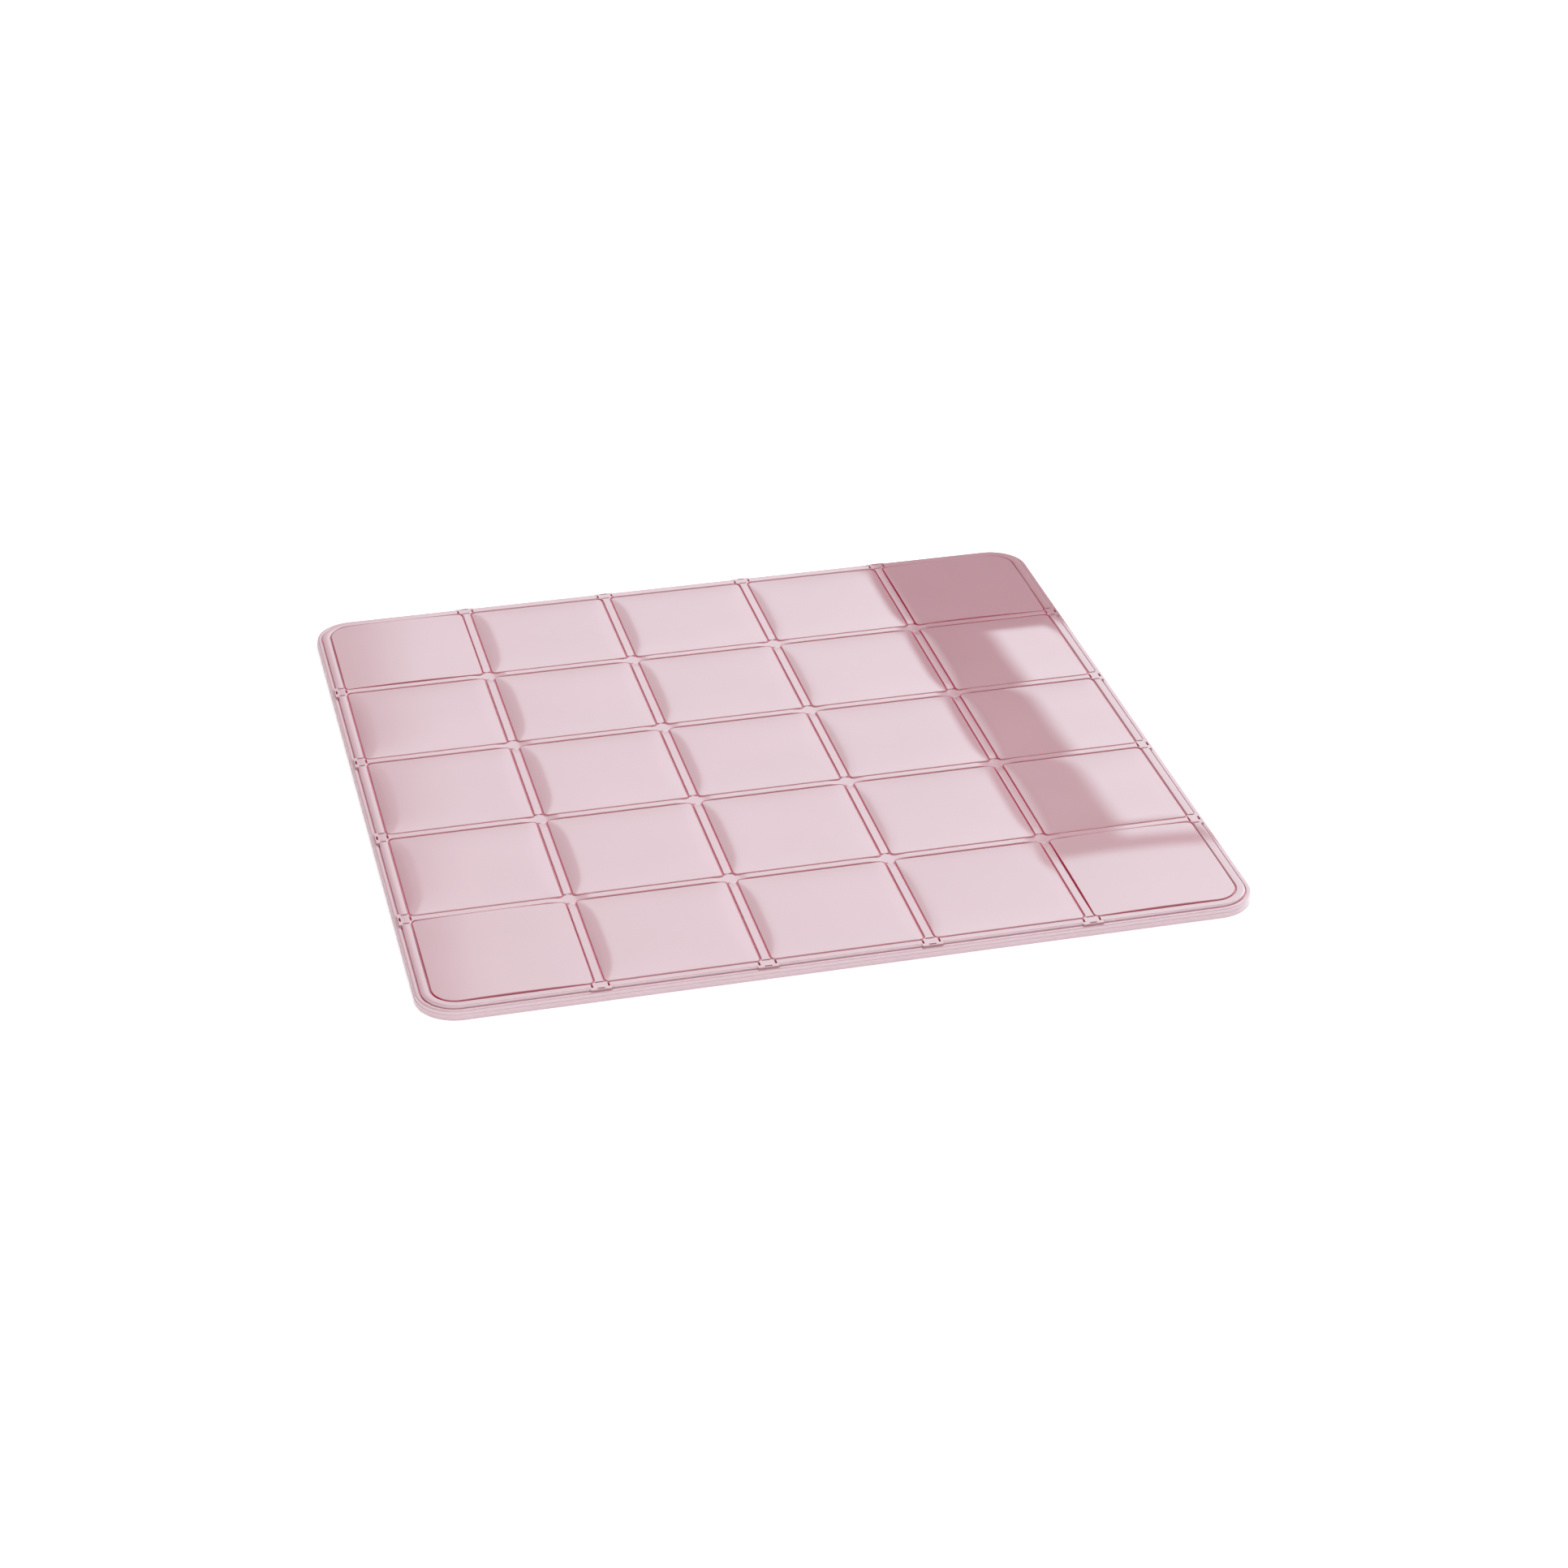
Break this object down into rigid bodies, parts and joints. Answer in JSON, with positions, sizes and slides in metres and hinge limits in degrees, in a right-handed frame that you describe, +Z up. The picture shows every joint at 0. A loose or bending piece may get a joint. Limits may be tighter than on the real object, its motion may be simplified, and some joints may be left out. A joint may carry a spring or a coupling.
{
  "type": "slab soap mould",
  "caption": "Shallow square slab mould lying on its open cells: a rounded rim and a crossed rib grid hold gently pillowed cell floors that press in to release the soap.",
  "frame": {"origin": "centre of the resting face, on the surface the mould lies on", "axes": "+X to the right and +Y to the back as the mould lies in use, +Z up through the cell floors"},
  "size_m": [0.257, 0.257, 0.0043],
  "materials": {
    "pad_silicone": "satin, pale dusty pink silicone",
    "frame_silicone": "satin, pale dusty pink silicone",
    "edge_silicone": "satin, slightly deeper dusty pink silicone"
  },
  "bodies": {
    "frame": {"base_flange": "edge_silicone", "rim_frame": "frame_silicone", "row_rib_1": "frame_silicone", "row_rib_2": "frame_silicone", "row_rib_3": "frame_silicone", "row_rib_4": "frame_silicone", "column_rib_1": "frame_silicone", "column_rib_2": "frame_silicone", "column_rib_3": "frame_silicone", "column_rib_4": "frame_silicone"},
    "pad_r1_c1": {"pad_r1_c1": "pad_silicone"},
    "pad_r1_c2": {"pad_r1_c2": "pad_silicone"},
    "pad_r1_c3": {"pad_r1_c3": "pad_silicone"},
    "pad_r1_c4": {"pad_r1_c4": "pad_silicone"},
    "pad_r1_c5": {"pad_r1_c5": "pad_silicone"},
    "pad_r2_c1": {"pad_r2_c1": "pad_silicone"},
    "pad_r2_c2": {"pad_r2_c2": "pad_silicone"},
    "pad_r2_c3": {"pad_r2_c3": "pad_silicone"},
    "pad_r2_c4": {"pad_r2_c4": "pad_silicone"},
    "pad_r2_c5": {"pad_r2_c5": "pad_silicone"},
    "pad_r3_c1": {"pad_r3_c1": "pad_silicone"},
    "pad_r3_c2": {"pad_r3_c2": "pad_silicone"},
    "pad_r3_c3": {"pad_r3_c3": "pad_silicone"},
    "pad_r3_c4": {"pad_r3_c4": "pad_silicone"},
    "pad_r3_c5": {"pad_r3_c5": "pad_silicone"},
    "pad_r4_c1": {"pad_r4_c1": "pad_silicone"},
    "pad_r4_c2": {"pad_r4_c2": "pad_silicone"},
    "pad_r4_c3": {"pad_r4_c3": "pad_silicone"},
    "pad_r4_c4": {"pad_r4_c4": "pad_silicone"},
    "pad_r4_c5": {"pad_r4_c5": "pad_silicone"},
    "pad_r5_c1": {"pad_r5_c1": "pad_silicone"},
    "pad_r5_c2": {"pad_r5_c2": "pad_silicone"},
    "pad_r5_c3": {"pad_r5_c3": "pad_silicone"},
    "pad_r5_c4": {"pad_r5_c4": "pad_silicone"},
    "pad_r5_c5": {"pad_r5_c5": "pad_silicone"}
  },
  "joints": [
    {"name": "pad_r1_c1_press", "type": "slide", "parent": "frame", "child": "pad_r1_c1", "axis": [0, 0, -1], "range_m": [0, 0.0015], "stiffness_N_per_m": 400},
    {"name": "pad_r1_c2_press", "type": "slide", "parent": "frame", "child": "pad_r1_c2", "axis": [0, 0, -1], "range_m": [0, 0.0015], "stiffness_N_per_m": 400},
    {"name": "pad_r1_c3_press", "type": "slide", "parent": "frame", "child": "pad_r1_c3", "axis": [0, 0, -1], "range_m": [0, 0.0015], "stiffness_N_per_m": 400},
    {"name": "pad_r1_c4_press", "type": "slide", "parent": "frame", "child": "pad_r1_c4", "axis": [0, 0, -1], "range_m": [0, 0.0015], "stiffness_N_per_m": 400},
    {"name": "pad_r1_c5_press", "type": "slide", "parent": "frame", "child": "pad_r1_c5", "axis": [0, 0, -1], "range_m": [0, 0.0015], "stiffness_N_per_m": 400},
    {"name": "pad_r2_c1_press", "type": "slide", "parent": "frame", "child": "pad_r2_c1", "axis": [0, 0, -1], "range_m": [0, 0.0015], "stiffness_N_per_m": 400},
    {"name": "pad_r2_c2_press", "type": "slide", "parent": "frame", "child": "pad_r2_c2", "axis": [0, 0, -1], "range_m": [0, 0.0015], "stiffness_N_per_m": 400},
    {"name": "pad_r2_c3_press", "type": "slide", "parent": "frame", "child": "pad_r2_c3", "axis": [0, 0, -1], "range_m": [0, 0.0015], "stiffness_N_per_m": 400},
    {"name": "pad_r2_c4_press", "type": "slide", "parent": "frame", "child": "pad_r2_c4", "axis": [0, 0, -1], "range_m": [0, 0.0015], "stiffness_N_per_m": 400},
    {"name": "pad_r2_c5_press", "type": "slide", "parent": "frame", "child": "pad_r2_c5", "axis": [0, 0, -1], "range_m": [0, 0.0015], "stiffness_N_per_m": 400},
    {"name": "pad_r3_c1_press", "type": "slide", "parent": "frame", "child": "pad_r3_c1", "axis": [0, 0, -1], "range_m": [0, 0.0015], "stiffness_N_per_m": 400},
    {"name": "pad_r3_c2_press", "type": "slide", "parent": "frame", "child": "pad_r3_c2", "axis": [0, 0, -1], "range_m": [0, 0.0015], "stiffness_N_per_m": 400},
    {"name": "pad_r3_c3_press", "type": "slide", "parent": "frame", "child": "pad_r3_c3", "axis": [0, 0, -1], "range_m": [0, 0.0015], "stiffness_N_per_m": 400},
    {"name": "pad_r3_c4_press", "type": "slide", "parent": "frame", "child": "pad_r3_c4", "axis": [0, 0, -1], "range_m": [0, 0.0015], "stiffness_N_per_m": 400},
    {"name": "pad_r3_c5_press", "type": "slide", "parent": "frame", "child": "pad_r3_c5", "axis": [0, 0, -1], "range_m": [0, 0.0015], "stiffness_N_per_m": 400},
    {"name": "pad_r4_c1_press", "type": "slide", "parent": "frame", "child": "pad_r4_c1", "axis": [0, 0, -1], "range_m": [0, 0.0015], "stiffness_N_per_m": 400},
    {"name": "pad_r4_c2_press", "type": "slide", "parent": "frame", "child": "pad_r4_c2", "axis": [0, 0, -1], "range_m": [0, 0.0015], "stiffness_N_per_m": 400},
    {"name": "pad_r4_c3_press", "type": "slide", "parent": "frame", "child": "pad_r4_c3", "axis": [0, 0, -1], "range_m": [0, 0.0015], "stiffness_N_per_m": 400},
    {"name": "pad_r4_c4_press", "type": "slide", "parent": "frame", "child": "pad_r4_c4", "axis": [0, 0, -1], "range_m": [0, 0.0015], "stiffness_N_per_m": 400},
    {"name": "pad_r4_c5_press", "type": "slide", "parent": "frame", "child": "pad_r4_c5", "axis": [0, 0, -1], "range_m": [0, 0.0015], "stiffness_N_per_m": 400},
    {"name": "pad_r5_c1_press", "type": "slide", "parent": "frame", "child": "pad_r5_c1", "axis": [0, 0, -1], "range_m": [0, 0.0015], "stiffness_N_per_m": 400},
    {"name": "pad_r5_c2_press", "type": "slide", "parent": "frame", "child": "pad_r5_c2", "axis": [0, 0, -1], "range_m": [0, 0.0015], "stiffness_N_per_m": 400},
    {"name": "pad_r5_c3_press", "type": "slide", "parent": "frame", "child": "pad_r5_c3", "axis": [0, 0, -1], "range_m": [0, 0.0015], "stiffness_N_per_m": 400},
    {"name": "pad_r5_c4_press", "type": "slide", "parent": "frame", "child": "pad_r5_c4", "axis": [0, 0, -1], "range_m": [0, 0.0015], "stiffness_N_per_m": 400},
    {"name": "pad_r5_c5_press", "type": "slide", "parent": "frame", "child": "pad_r5_c5", "axis": [0, 0, -1], "range_m": [0, 0.0015], "stiffness_N_per_m": 400}
  ]
}
